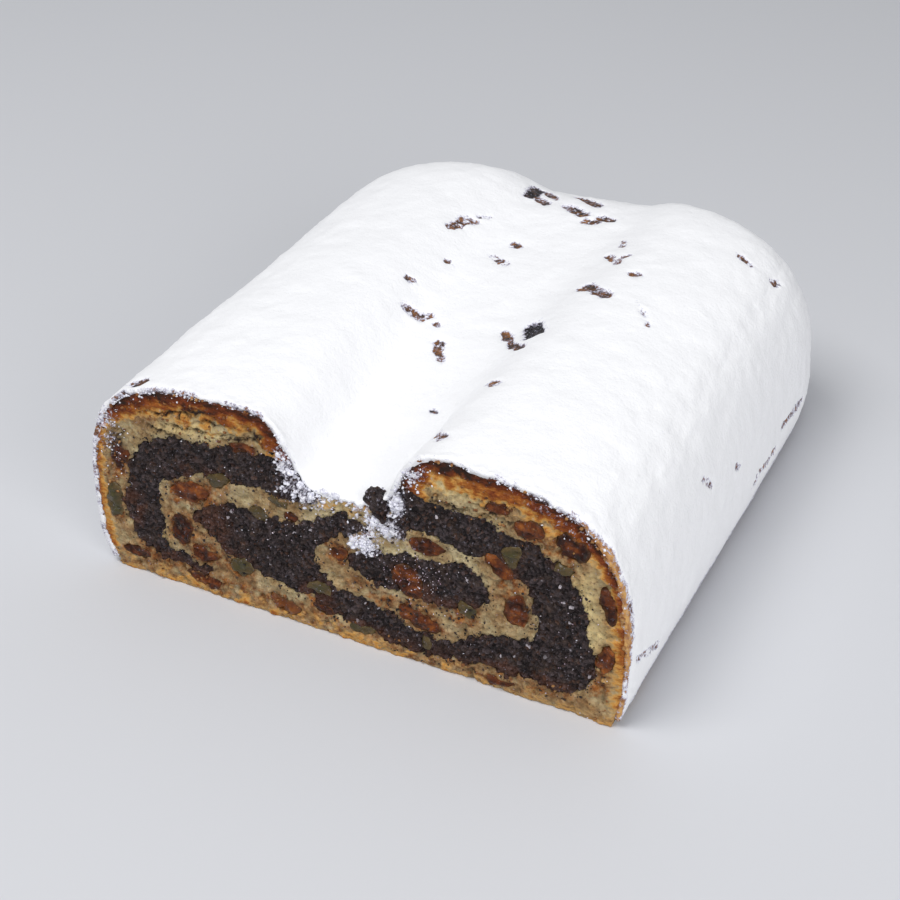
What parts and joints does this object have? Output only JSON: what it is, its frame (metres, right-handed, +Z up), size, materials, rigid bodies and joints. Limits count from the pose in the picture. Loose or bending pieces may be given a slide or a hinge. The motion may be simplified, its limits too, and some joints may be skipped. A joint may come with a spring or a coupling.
{
  "type": "stollen half",
  "caption": "Half of a poppy-seed stollen, cut across: yeast dough rolled round dark filling with raisins and candied peel, one closed rounded end, coated with icing sugar.",
  "frame": {"origin": "middle of the flat base, under the centre of the whole loaf", "axes": "+Z up, X across the loaf, -Y towards the cut face, +Y towards the closed round end"},
  "size_m": [0.1498, 0.1722, 0.0645],
  "materials": {
    "dough": "baked yeast dough, matt",
    "poppy_filling": "ground poppy seed, matt and grainy",
    "icing_sugar": "powdery, matt",
    "raisin": "moist, soft sheen",
    "candied_peel": "translucent, sugary sheen"
  },
  "bodies": {
    "root": {"cleft_crumb": "poppy_filling", "dough": "dough", "filling_core": "poppy_filling", "filling_left": "poppy_filling", "filling_right": "poppy_filling", "peel_01": "candied_peel", "peel_02": "candied_peel", "peel_03": "candied_peel", "peel_04": "candied_peel", "peel_05": "candied_peel", "peel_06": "candied_peel", "peel_07": "candied_peel", "peel_08": "candied_peel", "peel_09": "candied_peel", "peel_10": "candied_peel", "peel_11": "candied_peel", "peel_12": "candied_peel", "raisin_01": "raisin", "raisin_02": "raisin", "raisin_03": "raisin", "raisin_04": "raisin", "raisin_05": "raisin", "raisin_06": "raisin", "raisin_07": "raisin", "raisin_08": "raisin", "raisin_09": "raisin", "raisin_10": "raisin", "raisin_11": "raisin", "raisin_12": "raisin", "raisin_13": "raisin", "raisin_14": "raisin", "raisin_15": "raisin", "raisin_16": "raisin", "raisin_17": "raisin", "raisin_18": "raisin", "raisin_19": "raisin", "raisin_20": "raisin", "raisin_21": "raisin", "sugar_coat": "icing_sugar"}
  },
  "joints": []
}
